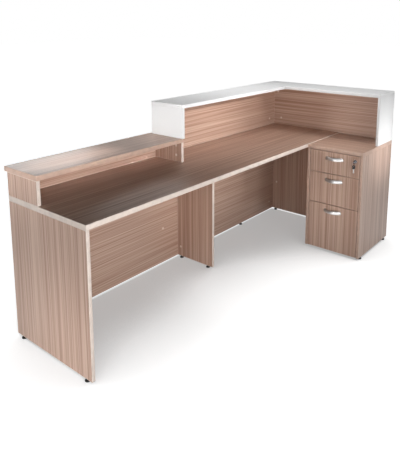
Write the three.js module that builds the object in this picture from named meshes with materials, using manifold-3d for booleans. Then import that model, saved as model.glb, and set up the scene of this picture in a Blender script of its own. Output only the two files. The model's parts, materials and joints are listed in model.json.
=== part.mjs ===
// Reception desk, L-shaped, for staff who sit inside the L. A long worktop stands on end and support panels,
// a low riser and a taller white hutch screen its public edge, and the return at the right is a pedestal of
// three drawers with a cylinder lock. X runs along the main desk, Y from its staff edge to its public
// edge, Z up.
import * as THREE from "three";
import { mergeVertices } from "three/addons/utils/BufferGeometryUtils.js";
import Module from "manifold-3d";

const wasm = await Module();
wasm.setup();

// Plan and heights, in millimetres. The return top lies a little lower than the worktop, so the worktop's
// edge shows above it.
const runLength = 2400;
const runDepth = 600;
const returnLength = 400;
const returnWidth = 500;
const deskHeight = 750;
const returnDrop = 5;
const counterHeight = 1100;

// Boards. A seam is the hairline left where two boards meet, an arris the chamfer along a board's edges.
const topThickness = 25;
const panelThickness = 18;
const counterThickness = 22;
const seam = 0.2;
const edgeArris = 1;

// Middle support, riser and hutch on the main run.
const middleSupportCentre = 1200;
const middleSupportDepth = 320;
const riserLength = 1000;
const riserDepth = 250;
const riserClearHeight = 120;
const riserOverhang = 25;
const riserBackInset = 10;
const hutchDepth = 260;

// Glides.
const glideHeight = 15;
const glideRadius = 9;
const glidePadHeight = 6;
const glideRim = 1.5;
const glideStemRadius = 4;
const glideCollarRadius = 7;
const glideCollarHeight = 4;
const glideInset = 45;
const modestyGlideFromRight = 470;

// Drawers. Each tray is folded from sheet steel and screwed to the back of its front.
const topFrontHeight = 150;
const middleFrontHeight = 216;
const frontGap = 3;
const trayRise = 24;
const trayHeadroom = 5;
const traySheet = 1.5;
const trayLip = 8;
const trayBackClearance = 44;

// Runners: nested steel channels between the tray and the pedestal sides.
const runnerWidth = 12.5;
const runnerSheet = 1.5;
const runnerHalfHeight = 18;
const runnerPlay = 0.4;
const runnerRise = 36;
const runnerSetback = 5;
const runnerFlange = 7;

// Bow handles.
const handleLength = 128;
const handleProjection = 33;
const handleFoot = 12;
const handleThickness = 7;
const handleHeight = 22;
const handleRounding = 2.6;
const handleDrop = 41;

// Lock in the top drawer front, its cam and the rail that the cam turns up behind.
const lockInset = 30;
const lockDrop = 35;
const lockFlangeRadius = 11;
const lockFlangeThickness = 2.5;
const lockBodyRadius = 9;
const lockBodyBehind = 6;
const lockFit = 0.3;
const plugRadius = 6;
const camThickness = 3;
const camHalfWidth = 6;
const camEngagement = 10;
const railThickness = 2;
const railFoot = 20;
const railClearance = 5;
const railSetback = 2;

// Keys and their ring.
const keyHeadLength = 26;
const keyHeadWidth = 22;
const keyHeadRounding = 7;
const keyThickness = 2.4;
const keyBladeWidth = 8.5;
const keyBladeLength = 28;
const keyTip = 2.5;
const keyHoleRadius = 3.5;
const keyHoleInset = 7;
const keyStandOff = 4;
const ringRadius = 11;
const ringWireRadius = 1;
const ringPlay = 0.3;
const spareTwist = 28;

// Facets of round forms.
const roundSides = 24;
const glideSides = 16;
const arcSteps = 16;
const cornerSteps = 5;
const roundingSteps = 3;
const wireSides = 8;

// Levels and faces that several pieces share.
const topUnderside = deskHeight - topThickness;
const panelTop = topUnderside - seam;
const onWorktop = deskHeight + seam;
const returnLevel = deskHeight - returnDrop;
const returnUnderside = returnLevel - topThickness;
const riserUnderside = deskHeight + riserClearHeight;
const riserTopLevel = riserUnderside + topThickness;
const counterUnderside = counterHeight - counterThickness;
const publicInner = runDepth - panelThickness;
const rightInner = runLength - panelThickness;
const returnFront = runLength - returnWidth;
const returnEndInner = panelThickness - returnLength;
const hutchFront = runDepth - hutchDepth;
const hutchInner = runLength - hutchDepth;
const middleLeft = middleSupportCentre - panelThickness / 2;
const middleRight = middleSupportCentre + panelThickness / 2;

// The pedestal's inside and the three drawer fronts, from the top down.
const pedestalCentre = -returnLength / 2;
const pedestalHalf = returnLength / 2 - panelThickness;
const frontHalf = pedestalHalf - frontGap;
const frontSpace = returnUnderside - glideHeight;
const bottomFrontHeight = frontSpace - topFrontHeight - middleFrontHeight - 4 * frontGap;
const frontHeights = [topFrontHeight, middleFrontHeight, bottomFrontHeight];
const trayFront = panelThickness + seam;
const trayDepth = returnWidth - 2 * panelThickness - seam - trayBackClearance;
const trayHalf = pedestalHalf - runnerWidth - 2 * seam;
const trayTopDrop = lockDrop + lockFlangeRadius + trayHeadroom;

const X = new THREE.Vector3(1, 0, 0);
const Y = new THREE.Vector3(0, 1, 0);
const Z = new THREE.Vector3(0, 0, 1);

// Finishes.
const laminate = (color, roughness) => new THREE.MeshStandardMaterial({ color, roughness, metalness: 0 });
const metal = (color, roughness) => new THREE.MeshStandardMaterial({ color, roughness, metalness: 1 });
const walnut = () => laminate(0xa58878, 0.4);
const whiteLaminate = () => laminate(0xf2f2f2, 0.4);
const blackPlastic = () => laminate(0x201c1c, 0.5);
const greyEnamel = () => laminate(0x9a9da0, 0.45);
const zincPlate = () => metal(0xb9bcc0, 0.4);
const satinNickel = () => metal(0xc4c4c4, 0.3);
const chrome = () => metal(0xd6d8da, 0.12);

function piece(name, geometry, material) {
  const mesh = new THREE.Mesh(geometry, material);
  mesh.name = name;
  return mesh;
}

// Solid of a closed geometry, for cuts and joins.
function solid(geometry) {
  geometry.deleteAttribute("normal");
  geometry.deleteAttribute("uv");
  const merged = mergeVertices(geometry);
  const vertProperties = merged.attributes.position.array;
  const triVerts = new Uint32Array(merged.index.array);
  return new wasm.Manifold(new wasm.Mesh({ numProp: 3, vertProperties, triVerts }));
}

function skin(body) {
  const { vertProperties, triVerts } = body.getMesh();
  const geometry = new THREE.BufferGeometry();
  geometry.setAttribute("position", new THREE.BufferAttribute(vertProperties, 3));
  geometry.setIndex(new THREE.BufferAttribute(triVerts, 1));
  geometry.computeVertexNormals();
  return geometry;
}

// An outline extruded along x, y or z. It is drawn in the two axes that follow: y and z, z and x, or x and y.
const TURNS = {
  x: new THREE.Matrix4().makeBasis(Y, Z, X),
  y: new THREE.Matrix4().makeBasis(Z, X, Y),
  z: new THREE.Matrix4(),
};

function extrude(outline, along, length, arris = 0, curveSegments = arcSteps, bevelSegments = 1) {
  const geometry = new THREE.ExtrudeGeometry(outline, {
    depth: length - 2 * arris,
    bevelEnabled: arris > 0,
    bevelThickness: arris,
    bevelSize: arris,
    bevelOffset: -arris,
    bevelSegments,
    curveSegments,
  });
  geometry.translate(0, 0, arris);
  return geometry.applyMatrix4(TURNS[along]);
}

function polygon(points) {
  return new THREE.Shape(points.map(([a, b]) => new THREE.Vector2(a, b)));
}

function roundHole(a, b, radius) {
  return new THREE.Path().absarc(a, b, radius, 0, 2 * Math.PI);
}

// A board between low and high values of x, y and z, extruded through its thickness, with any round holes.
function board(name, xSpan, ySpan, zSpan, material, holes = []) {
  const spans = [xSpan, ySpan, zSpan];
  const sizes = spans.map(([low, high]) => high - low);
  const thin = sizes.indexOf(Math.min(...sizes));
  const [a0, a1] = spans[(thin + 1) % 3];
  const [b0, b1] = spans[(thin + 2) % 3];
  const outline = polygon([[a0, b0], [a1, b0], [a1, b1], [a0, b1]]);
  outline.holes.push(...holes);
  const mesh = piece(name, extrude(outline, "xyz"[thin], sizes[thin], edgeArris), material);
  mesh.position.setComponent(thin, spans[thin][0]);
  return mesh;
}

// Worktop, end panels, middle support and the two modesty panels at the public edge.
function mainRun() {
  const group = new THREE.Group();
  const standing = [glideHeight, panelTop];
  const modesty = [publicInner, runDepth];
  const supportFront = runDepth - middleSupportDepth;
  group.add(
    board("main_worktop", [0, runLength], [0, runDepth], [topUnderside, deskHeight], walnut()),
    board("left_end_panel", [0, panelThickness], [0, runDepth], standing, walnut()),
    board("middle_support_panel", [middleLeft, middleRight], [supportFront, runDepth], standing, walnut()),
    board("right_end_panel", [rightInner, runLength], [seam, runDepth], standing, walnut()),
    board("left_modesty_panel", [panelThickness + seam, middleLeft - seam], modesty, standing, walnut()),
    board("right_modesty_panel", [middleRight + seam, rightInner - seam], modesty, standing, walnut()),
  );
  return group;
}

// Low open riser at the left of the public edge.
function riser() {
  const group = new THREE.Group();
  const front = runDepth - riserDepth;
  const rightSide = riserLength - panelThickness;
  const back = [publicInner - riserBackInset, runDepth - riserBackInset];
  const standing = [onWorktop, riserUnderside - seam];
  const across = [front, runDepth + riserOverhang];
  group.add(
    board("riser_top", [0, riserLength], across, [riserUnderside, riserTopLevel], walnut()),
    board("riser_left_side", [0, panelThickness], [front, runDepth], standing, walnut()),
    board("riser_right_side", [rightSide, riserLength], [front, runDepth], standing, walnut()),
    board("riser_back", [panelThickness + seam, rightSide - seam], back, standing, walnut()),
  );
  return group;
}

// White hutch: two counter tops mitred at the corner, an end on the riser, an end on the return, walnut
// backs. The return's back is notched over the step from the return top to the worktop.
function hutch() {
  const group = new THREE.Group();
  const leftEnd = riserLength - panelThickness;
  const returnEnd = -returnLength;
  const onRiser = riserTopLevel + seam;
  const endTop = counterUnderside - seam;
  const mainOutline = polygon([
    [leftEnd, hutchFront],
    [hutchInner - seam, hutchFront],
    [runLength - seam, runDepth],
    [leftEnd, runDepth],
  ]);
  const returnOutline = polygon([
    [hutchInner, returnEnd],
    [runLength, returnEnd],
    [runLength, runDepth],
    [hutchInner, hutchFront],
  ]);
  const mainTop = extrude(mainOutline, "z", counterThickness, edgeArris);
  const returnTop = extrude(returnOutline, "z", counterThickness, edgeArris);
  const tops = [
    piece("hutch_top_main", mainTop, whiteLaminate()),
    piece("hutch_top_return", returnTop, whiteLaminate()),
  ];
  for (const top of tops) top.position.z = counterUnderside;
  const notched = polygon([
    [returnEndInner + seam, returnLevel + seam],
    [-seam, returnLevel + seam],
    [-seam, onWorktop],
    [runDepth, onWorktop],
    [runDepth, endTop],
    [returnEndInner + seam, endTop],
  ]);
  const returnBack = piece("hutch_back_return", extrude(notched, "x", panelThickness, edgeArris), walnut());
  returnBack.position.x = rightInner;
  const onMain = [riserLength + seam, rightInner - seam];
  const onReturn = [returnEnd, returnEndInner];
  const deep = [hutchFront, runDepth];
  const fromReturn = [returnLevel + seam, endTop];
  group.add(
    ...tops,
    board("hutch_left_end", [leftEnd, riserLength], deep, [onRiser, endTop], whiteLaminate()),
    board("hutch_right_end", [hutchInner, runLength], onReturn, fromReturn, whiteLaminate()),
    board("hutch_back_main", onMain, [publicInner, runDepth], [onWorktop, endTop], walnut()),
    returnBack,
  );
  return group;
}

// Return: its top and the pedestal's fixed boards.
function pedestal() {
  const group = new THREE.Group();
  const standing = [glideHeight, returnUnderside - seam];
  const deep = [returnFront, runLength];
  const between = [returnEndInner + seam, -panelThickness - seam];
  const bottomDeep = [returnFront + panelThickness + frontGap, rightInner - seam];
  const bottomHigh = [glideHeight, glideHeight + panelThickness];
  group.add(
    board("return_top", deep, [-returnLength, -seam], [returnUnderside, returnLevel], walnut()),
    board("pedestal_inner_side", deep, [-panelThickness, 0], standing, walnut()),
    board("return_end_panel", deep, [-returnLength, returnEndInner], standing, walnut()),
    board("pedestal_back", [rightInner, runLength], between, standing, walnut()),
    board("pedestal_bottom", bottomDeep, between, bottomHigh, walnut()),
  );
  return group;
}

// Turned glide: a pad with rounded rims, a stem and the collar under the panel.
function glide(name, x, y) {
  const top = glideHeight - seam;
  const collar = top - glideCollarHeight;
  const profile = [
    [0, 0],
    [glideRadius - glideRim, 0],
    [glideRadius, glideRim],
    [glideRadius, glidePadHeight - glideRim],
    [glideRadius - glideRim, glidePadHeight],
    [glideStemRadius, glidePadHeight],
    [glideStemRadius, collar],
    [glideCollarRadius, collar],
    [glideCollarRadius, top],
    [0, top],
  ].map(([radius, height]) => new THREE.Vector2(radius, height));
  const geometry = new THREE.LatheGeometry(profile, glideSides).rotateX(Math.PI / 2);
  const mesh = piece(name, geometry, blackPlastic());
  mesh.position.set(x, y, 0);
  return mesh;
}

function glides() {
  const group = new THREE.Group();
  const half = panelThickness / 2;
  const publicSide = runDepth - glideInset;
  const supportFront = runDepth - middleSupportDepth + glideInset;
  const returnFrontGlide = returnFront + glideInset;
  const returnBackGlide = runLength - glideInset;
  const endPanelLine = half - returnLength;
  group.add(
    glide("glide_left_end_staff", half, glideInset),
    glide("glide_left_end_public", half, publicSide),
    glide("glide_middle_staff", middleSupportCentre, supportFront),
    glide("glide_middle_public", middleSupportCentre, publicSide),
    glide("glide_right_modesty", runLength - modestyGlideFromRight, runDepth - half),
    glide("glide_right_end", runLength - half, publicSide),
    glide("glide_inner_side_front", returnFrontGlide, -half),
    glide("glide_inner_side_back", returnBackGlide, -half),
    glide("glide_return_end_front", returnFrontGlide, endPanelLine),
    glide("glide_return_end_back", returnBackGlide, endPanelLine),
  );
  return group;
}

// Crescent bow: two arcs on one chord line, with a flat foot at each end.
function bowOutline() {
  const arc = (outline, half, sagitta, sign) => {
    const radius = (half * half + sagitta * sagitta) / (2 * sagitta);
    const centre = radius - sagitta;
    const swing = Math.atan2(half, centre);
    outline.absarc(centre, 0, radius, Math.PI + sign * swing, Math.PI - sign * swing, sign > 0);
  };
  const outer = handleLength / 2;
  const outline = new THREE.Shape();
  arc(outline, outer, handleProjection, 1);
  arc(outline, outer - handleFoot, handleProjection - handleThickness, -1);
  outline.closePath();
  return outline;
}

function bowHandle(name, frontHeight) {
  const geometry = extrude(bowOutline(), "z", handleHeight, handleRounding, arcSteps, roundingSteps);
  const mesh = piece(name, geometry, satinNickel());
  mesh.position.set(-seam, 0, frontHeight - handleDrop - handleHeight / 2);
  return mesh;
}

// Folded tray: a channel with lips turned in at the top, closed by a plate at each end.
function tray(name, height) {
  const inner = trayHalf - traySheet;
  const lip = trayHalf - trayLip;
  const underLip = height - traySheet;
  const half = [
    [trayHalf, 0],
    [trayHalf, height],
    [lip, height],
    [lip, underLip],
    [inner, underLip],
    [inner, traySheet],
  ];
  const mirrored = half.map(([y, z]) => [-y, z]).reverse();
  let body = solid(extrude(polygon([...half, ...mirrored]), "x", trayDepth));
  const plate = polygon([[-trayHalf, 0], [trayHalf, 0], [trayHalf, height], [-trayHalf, height]]);
  for (const end of [0, trayDepth - traySheet]) {
    body = body.add(solid(extrude(plate, "x", traySheet).translate(end, 0, 0)));
  }
  const mesh = piece(name, skin(body), greyEnamel());
  mesh.position.set(trayFront, 0, trayRise);
  return mesh;
}

// One runner member: a channel whose web stands at webFrom to webTo from the pedestal side and whose flanges
// reach to flangeTo. Side is 1 at the left of the drawer and -1 at the right.
function runnerMember(name, side, webFrom, webTo, flangeTo, half) {
  const across = (distance) => side * (pedestalHalf - seam - distance);
  const inside = half - runnerSheet;
  const outline = polygon(
    [
      [webFrom, -half],
      [flangeTo, -half],
      [flangeTo, -inside],
      [webTo, -inside],
      [webTo, inside],
      [flangeTo, inside],
      [flangeTo, half],
      [webFrom, half],
    ].map(([distance, z]) => [across(distance), z]),
  );
  const mesh = piece(name, extrude(outline, "x", trayDepth - runnerSetback), zincPlate());
  mesh.position.set(trayFront + runnerSetback, 0, trayRise + runnerRise);
  return mesh;
}

// The channels of one runner nest with play between their flanges. With a middle member it extends in full.
function runner(drawer, sideName, side, telescopic) {
  const label = `${drawer}_runner_${sideName}`;
  const nest = runnerSheet + runnerPlay;
  const innerHalf = runnerHalfHeight - nest * (telescopic ? 2 : 1);
  const drawerTip = runnerPlay + runnerSheet + (telescopic ? nest : 0);
  const members = [
    runnerMember(`${label}_cabinet`, side, 0, runnerSheet, runnerFlange, runnerHalfHeight),
    runnerMember(`${label}_drawer`, side, runnerWidth, runnerWidth - runnerSheet, drawerTip, innerHalf),
  ];
  if (telescopic) {
    const middleTip = runnerFlange + nest;
    const middleHalf = runnerHalfHeight - nest;
    members.push(runnerMember(`${label}_middle`, side, nest, nest + runnerSheet, middleTip, middleHalf));
  }
  return members;
}

// Cylinder along x from a start.
function rod(radius, start, length) {
  const geometry = new THREE.CylinderGeometry(radius, radius, length, roundSides);
  return geometry.rotateZ(Math.PI / 2).translate(start + length / 2, 0, 0);
}

// Lock body: a flanged tube through the drawer front.
function lockBody() {
  const flangeFace = -seam - lockFlangeThickness;
  const back = panelThickness + lockBodyBehind;
  const flange = solid(rod(lockFlangeRadius, flangeFace, lockFlangeThickness));
  const tube = solid(rod(lockBodyRadius, flangeFace, back - flangeFace));
  const bore = solid(rod(plugRadius + lockFit, flangeFace - lockFit, back - flangeFace + 2 * lockFit));
  return piece("lock_body", skin(flange.add(tube).subtract(bore)), chrome());
}

// Barrel: a plug with a keyway in its face and a cam on its back end. The cam points to the left when
// unlocked.
function lockBarrel(camReach) {
  const face = -seam - lockFlangeThickness;
  const camStart = panelThickness + lockBodyBehind + lockFit;
  const plug = solid(rod(plugRadius, face, camStart + camThickness - face));
  const camOutline = new THREE.Shape();
  camOutline.absarc(0, 0, camHalfWidth, Math.PI / 2, 1.5 * Math.PI);
  camOutline.absarc(camReach - camHalfWidth, 0, camHalfWidth, -Math.PI / 2, Math.PI / 2);
  const cam = solid(extrude(camOutline, "x", camThickness).translate(camStart, 0, 0));
  const slotHalf = [keyBladeWidth / 2 + lockFit, keyThickness / 2 + lockFit];
  const slotDepth = keyBladeLength - keyStandOff + lockFit;
  const slotOutline = polygon([
    [-slotHalf[1], -slotHalf[0]],
    [slotHalf[1], -slotHalf[0]],
    [slotHalf[1], slotHalf[0]],
    [-slotHalf[1], slotHalf[0]],
  ]);
  const keyway = solid(extrude(slotOutline, "x", slotDepth + lockFit).translate(face - lockFit, 0, 0));
  return piece("lock_barrel", skin(plug.add(cam).subtract(keyway)), chrome());
}

// Flat key along x with its hole at the origin: a rounded head, then a blade with a pointed tip.
function keyGeometry() {
  const start = -keyHoleInset;
  const shoulder = start + keyHeadLength;
  const end = shoulder + keyBladeLength;
  const wide = keyHeadWidth / 2;
  const narrow = keyBladeWidth / 2;
  const round = keyHeadRounding;
  const outline = new THREE.Shape();
  outline.moveTo(-narrow, shoulder);
  outline.lineTo(-narrow, end - keyTip);
  outline.lineTo(keyTip - narrow, end);
  outline.lineTo(narrow - keyTip, end);
  outline.lineTo(narrow, end - keyTip);
  outline.lineTo(narrow, shoulder);
  outline.absarc(wide - round, shoulder - round, round, Math.PI / 2, 0, true);
  outline.absarc(wide - round, start + round, round, 0, -Math.PI / 2, true);
  outline.absarc(round - wide, start + round, round, -Math.PI / 2, -Math.PI, true);
  outline.absarc(round - wide, shoulder - round, round, Math.PI, Math.PI / 2, true);
  outline.closePath();
  outline.holes.push(roundHole(0, 0, keyHoleRadius));
  return extrude(outline, "y", keyThickness, 0, cornerSteps).translate(0, -keyThickness / 2, 0);
}

// Lock, with the key in its barrel, and a spare key that hangs, a little twisted, from the ring in the key's
// hole.
function lock(camReach) {
  const group = new THREE.Group();
  const ringDrop = keyHoleRadius - ringWireRadius - ringPlay;
  const key = piece("key", keyGeometry(), blackPlastic());
  const holeX = -seam - lockFlangeThickness - keyStandOff - keyHeadLength + keyHoleInset;
  key.position.x = holeX;
  const ringGeometry = new THREE.TorusGeometry(ringRadius, ringWireRadius, wireSides, roundSides);
  const ring = piece("key_ring", ringGeometry.rotateY(Math.PI / 2), chrome());
  ring.position.set(holeX, 0, -ringDrop - ringRadius);
  const spare = piece("spare_key", keyGeometry(), blackPlastic());
  spare.position.set(holeX, 0, 2 * (-ringDrop - ringRadius));
  spare.rotation.set(0, Math.PI / 2, THREE.MathUtils.degToRad(-spareTwist), "ZYX");
  group.add(lockBody(), lockBarrel(camReach), key, ring, spare);
  return group;
}

// Three drawers with their runners, and the lock in the top one. Each stands in a group of its own, whose
// origin is the middle of its front's lower edge.
function drawers() {
  const group = new THREE.Group();
  const span = [-frontHalf, frontHalf];
  const lockY = lockInset - frontHalf;
  const railBottom = lockBodyRadius + railClearance;
  let top = returnUnderside;
  ["top", "middle", "bottom"].forEach((level, index) => {
    const height = frontHeights[index];
    const drawer = new THREE.Group();
    drawer.position.set(returnFront, pedestalCentre, top - frontGap - height);
    top = drawer.position.z;
    const lockZ = height - lockDrop;
    const hole = index === 0 ? [roundHole(lockY, lockZ, lockBodyRadius + lockFit)] : [];
    drawer.add(
      board(`${level}_drawer_front`, [0, panelThickness], span, [0, height], walnut(), hole),
      bowHandle(`${level}_drawer_handle`, height),
      tray(`${level}_drawer_tray`, height - trayRise - trayTopDrop),
      ...runner(level, "left", 1, index === 2),
      ...runner(level, "right", -1, index === 2),
    );
    if (index === 0) {
      const fitted = lock(railBottom + camEngagement);
      fitted.position.set(0, lockY, lockZ);
      drawer.add(fitted);
    }
    group.add(drawer);
  });
  return group;
}

// Steel angle under the return top. The lock's cam turns up behind its hanging leg.
function lockRail() {
  const lockLevel = returnUnderside - frontGap - lockDrop;
  const low = lockLevel + lockBodyRadius + railClearance;
  const high = returnUnderside - seam;
  const face = returnFront + panelThickness + railSetback;
  const leg = face + railThickness;
  const outline = polygon([
    [low, face],
    [high, face],
    [high, face + railFoot],
    [high - railThickness, face + railFoot],
    [high - railThickness, leg],
    [low, leg],
  ]);
  const geometry = extrude(outline, "y", 2 * (pedestalHalf - seam));
  const mesh = piece("lock_rail", geometry, zincPlate());
  mesh.position.y = returnEndInner + seam;
  return mesh;
}

// The origin is on the floor, in the middle of the desk's overall plan.
const desk = new THREE.Group();
desk.name = "reception_desk";
desk.add(mainRun(), riser(), hutch(), pedestal(), lockRail(), drawers(), glides());
desk.position.set(-runLength / 2, (returnLength - runDepth - riserOverhang) / 2, 0);

export default desk;
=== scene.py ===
"""Reception desk: its boards, fittings, finishes and studio stage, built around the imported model."""

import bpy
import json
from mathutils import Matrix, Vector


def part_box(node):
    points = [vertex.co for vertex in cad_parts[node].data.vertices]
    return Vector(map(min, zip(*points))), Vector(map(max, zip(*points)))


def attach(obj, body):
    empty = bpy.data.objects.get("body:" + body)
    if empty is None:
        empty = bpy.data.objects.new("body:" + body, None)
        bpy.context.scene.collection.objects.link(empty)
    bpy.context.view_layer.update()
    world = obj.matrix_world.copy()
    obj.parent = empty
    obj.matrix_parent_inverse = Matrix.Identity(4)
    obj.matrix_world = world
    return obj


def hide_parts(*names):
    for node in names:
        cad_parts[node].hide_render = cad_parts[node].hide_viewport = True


bl_info = {
    "name": "Reception Desk",
    "version": (1, 0, 0),
    "blender": (4, 5, 0),
    "location": "View3D > Sidebar > Reception Desk",
    "description": "Builds the desk's boards, handles, lock, keys and finishes around its packed model",
    "category": "Object",
}

import json
import math
from collections import namedtuple

import bmesh
import bpy
from bpy.props import FloatProperty, FloatVectorProperty, IntProperty, PointerProperty
from mathutils import Matrix, Vector

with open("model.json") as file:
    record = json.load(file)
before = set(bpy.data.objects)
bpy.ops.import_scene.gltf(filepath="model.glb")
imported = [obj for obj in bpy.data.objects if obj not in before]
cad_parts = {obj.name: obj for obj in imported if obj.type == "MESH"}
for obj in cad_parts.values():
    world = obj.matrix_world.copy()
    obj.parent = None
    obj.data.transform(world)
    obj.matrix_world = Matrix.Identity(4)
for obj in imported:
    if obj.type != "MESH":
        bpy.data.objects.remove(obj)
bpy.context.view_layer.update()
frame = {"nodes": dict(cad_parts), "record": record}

MM = 0.001
# Hairline gap between boards that meet.
SEAM = 0.2 * MM
# How far a cutting block reaches beyond the face or the middle of the piece that it cuts.
CUT_OVER = 10 * MM
# Corners this close to a place count as being there, and corners closer than WELD become one.
NEAR = 0.01 * MM
WELD = 0.001 * MM
# A face looks along an axis when its normal has more than this share of it.
ALONG = 0.999
# A board's broad faces are larger than this, in square metres.
BROAD = 100 * MM**2
# Edges that turn less than this are shaded smooth.
SMOOTH_BELOW = math.radians(35)
# Edges of a bow handle that turn more than this are rounded, in radians.
SHARP = 0.7
QUARTER = math.pi / 2
BODY_OF = {
    node: body for body, nodes in frame["record"]["behaviour"]["bodies"].items() for node in nodes
}

# Walnut boards by the way their grain runs.
GRAIN_ALONG_X = (
    "main_worktop",
    "left_modesty_panel",
    "right_modesty_panel",
    "riser_top",
    "riser_back",
    "hutch_back_main",
)
GRAIN_ALONG_Y = ("hutch_back_return", "return_top", "pedestal_bottom")

MAIN_RUN = (
    "main_worktop",
    "left_end_panel",
    "middle_support_panel",
    "right_end_panel",
    "left_modesty_panel",
    "right_modesty_panel",
)
RISER = ("riser_top", "riser_left_side", "riser_right_side", "riser_back")
HUTCH_ENDS = ("hutch_left_end", "hutch_right_end")
PEDESTAL = (
    "return_top",
    "pedestal_inner_side",
    "return_end_panel",
    "pedestal_back",
    "pedestal_bottom",
)
DRAWERS = ("top", "middle", "bottom")

# Boards whose lipping matches their walnut faces. The others have a pale one.
WALNUT_EDGED = ("riser_top",) + PEDESTAL + tuple(level + "_drawer_front" for level in DRAWERS)

# Cover caps: the board that carries each, the way its face looks, and its centre on that face, in metres.
COVER_CAPS = (
    ("left_modesty_panel", "-Y", (-0.153, 0.0, 0.249)),
    ("middle_support_panel", "-X", (0.0, 0.4425, 0.081)),
    ("right_end_panel", "-X", (0.0, 0.4345, 0.248)),
    ("right_modesty_panel", "-Y", (1.126, 0.0, 0.081)),
    ("hutch_back_main", "-Y", (1.122, 0.0, 1.017)),
    ("hutch_back_main", "-Y", (1.108, 0.0, 0.8)),
    ("hutch_back_return", "-X", (0.0, 0.4375, 1.017)),
    ("hutch_back_return", "-X", (0.0, 0.4035, 0.803)),
    ("riser_right_side", "-X", (0.0, 0.2825, 0.85)),
    ("riser_right_side", "-X", (0.0, 0.2825, 0.791)),
    ("riser_back", "-Y", (-0.255, 0.0, 0.8)),
)

# Layers of the walnut print, as bands, streaks and pores: their length along the grain and width across
# it in millimetres, a shift that sets each apart from the others, and the detail of the noise.
WALNUT_LAYERS = ((2600, 45, 0.0, 1.0), (1500, 8, 7.3, 2.0), (520, 4.5, 3.1, 1.0))

# Cuts in a key's blade: their distance from the shoulder and their depth, in millimetres. The block that
# makes one is turned on its edge, and its side is KEY_CUT_SIDE times the depth.
KEY_CUTS = ((11, 1.2), (15, 2.0), (19, 1.0), (22.5, 1.6))
KEY_CUT_SIDE = 1.4

# Side of the studio floor, in metres.
FLOOR_SIDE = 60

# Studio lamps: where each stands and what it points at, its size, all in metres, the setting with its
# power, and its spread in degrees.
Lamp = namedtuple("Lamp", "name place target wide tall power spread")
LAMPS = (
    Lamp("front_light", (-1.9, -3.0, 0.86), (-0.75, 0.45, 0.9), 3.0, 0.3, "key_power", 70),
    Lamp("side_light", (-7.2, -1.7, 0.6), (0.0, 0.1, 0.6), 4.2, 1.4, "fill_power", 180),
    Lamp("low_light", (-3.2, -0.9, 0.3), (-1.2, 0.1, 0.05), 0.4, 0.3, "low_power", 30),
    Lamp("back_light", (0.4, 3.2, 1.7), (-0.9, 0.35, 0.9), 1.6, 0.6, "back_power", 60),
    Lamp("riser_light", (-3.4, 0.9, 1.25), (-0.4, 0.37, 0.98), 0.5, 0.3, "riser_power", 22),
    Lamp("riser_face_light", (-0.6, -3.4, 2.34), (-0.6, 0.46, 0.9), 1.0, 0.04, "riser_face_power", 7),
    Lamp("riser_top_light", (-0.9, 0.6, 3.2), (-0.9, 0.37, 0.895), 0.5, 0.05, "riser_top_power", 8),
    Lamp("corner_light", (0.7, -0.6, 2.7), (0.9, -0.2, 0.75), 0.9, 0.9, "corner_power", 70),
    Lamp("hutch_light", (0.7, 1.5, 2.2), (0.55, 0.36, 1.1), 0.8, 0.8, "hutch_power", 70),
    Lamp("end_light", (1.05, -2.0, 0.05), (1.05, -0.51, 0.75), 0.2, 0.2, "end_power", 24),
    Lamp("face_light", (0.3, -3.6, 2.4), (0.33, 0.47, 0.95), 0.12, 0.12, "face_power", 22),
    Lamp("front_face_light", (-2.6, -0.9, 0.5), (0.7, -0.31, 0.4), 0.2, 0.2, "drawer_power", 16),
)


def linear(hex_colour):
    """Linear RGBA of an sRGB hex colour."""
    parts = [int(hex_colour[start:start + 2], 16) / 255 for start in (0, 2, 4)]
    return [
        part / 12.92 if part <= 0.04045 else ((part + 0.055) / 1.055) ** 2.4 for part in parts
    ] + [1.0]


def colour(name, description, hex_colour):
    return FloatVectorProperty(
        name=name,
        description=description,
        default=linear(hex_colour),
        size=4,
        subtype="COLOR",
        min=0,
        max=1,
    )


def length(name, description, millimetres):
    return FloatProperty(
        name=name, description=description, default=millimetres * MM, min=0, unit="LENGTH"
    )


def fraction(name, description, part):
    return FloatProperty(
        name=name, description=description, default=part, min=0, max=1, subtype="FACTOR"
    )


def power(name, description, watts):
    return FloatProperty(name=name, description=description, default=watts, min=0, unit="POWER")


def angle(name, description, degrees):
    return FloatProperty(
        name=name, description=description, default=math.radians(degrees), subtype="ANGLE"
    )


class DeskBoards(bpy.types.PropertyGroup):
    """Sizes of the boards' edges and of their cover caps."""

    lipping: length("Lipping", "Thickness of the plastic strip glued round a board", 2.0)
    edge_radius: length("Edge radius", "Rounding of the lipping", 1.4)
    front_hole: length("Lock hole", "Radius of the hole for the lock in the top drawer front", 9.3)
    cap_radius: length("Cap radius", "Radius of a cover cap", 8.0)
    cap_height: length("Cap height", "How far a cover cap stands off its board", 1.4)


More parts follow.
